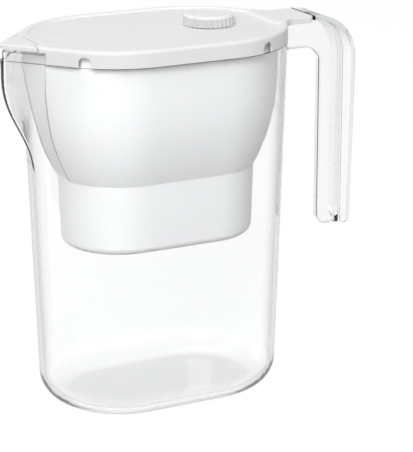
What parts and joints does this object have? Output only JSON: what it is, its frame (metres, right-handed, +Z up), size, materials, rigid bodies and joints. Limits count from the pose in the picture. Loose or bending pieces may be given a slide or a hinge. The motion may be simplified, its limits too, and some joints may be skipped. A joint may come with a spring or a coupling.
{
  "type": "water filter pitcher",
  "caption": "Clear oval jug with a hook handle and beak, a lift-out white hopper holding an oval filter cartridge, and a white lid with spout flap and reminder dial.",
  "frame": {"origin": "centre of the flat face that the jug stands on", "axes": "+Z up, +X towards the handle, -X towards the beak, +Y across the width"},
  "size_m": [0.269, 0.1354, 0.2756],
  "materials": {
    "clear_plastic": "clear, polished",
    "white_plastic": "satin, slightly translucent",
    "cartridge_plastic": "satin",
    "silicone": "matt",
    "felt": "fibrous",
    "carbon": "loose granules",
    "resin": "loose beads"
  },
  "bodies": {
    "jug": {"jug": "clear_plastic", "handle": "clear_plastic"},
    "hopper": {"hopper": "white_plastic"},
    "cartridge": {"cartridge_cup": "cartridge_plastic", "cartridge_cap": "cartridge_plastic", "cartridge_seal": "silicone", "inlet_felt": "felt", "carbon_bed": "carbon", "middle_felt": "felt", "resin_bed": "resin", "outlet_mesh": "felt"},
    "lid": {"lid": "white_plastic"},
    "spout_flap": {"spout_flap": "white_plastic"},
    "reminder_knob": {"reminder_knob": "white_plastic", "knob_ring": "silicone", "knob_clip": "white_plastic"}
  },
  "joints": [
    {"name": "hopper_lift", "type": "slide", "parent": "jug", "child": "hopper", "axis": [0, 0, 1], "range_m": [0, 0.16]},
    {"name": "cartridge_lift", "type": "slide", "parent": "hopper", "child": "cartridge", "axis": [0, 0, 1], "range_m": [0, 0.075]},
    {"name": "lid_lift", "type": "slide", "parent": "hopper", "child": "lid", "axis": [0, 0, 1], "range_m": [0, 0.06]},
    {"name": "spout_flap_hinge", "type": "hinge", "parent": "lid", "child": "spout_flap", "pos_m": [-0.0954, 0, 0.267], "axis": [0, 1, 0], "range_deg": [0, 85]},
    {"name": "reminder_knob_turn", "type": "hinge", "parent": "lid", "child": "reminder_knob", "pos_m": [0.042, 0, 0.268], "axis": [0, 0, 1], "continuous": true}
  ]
}
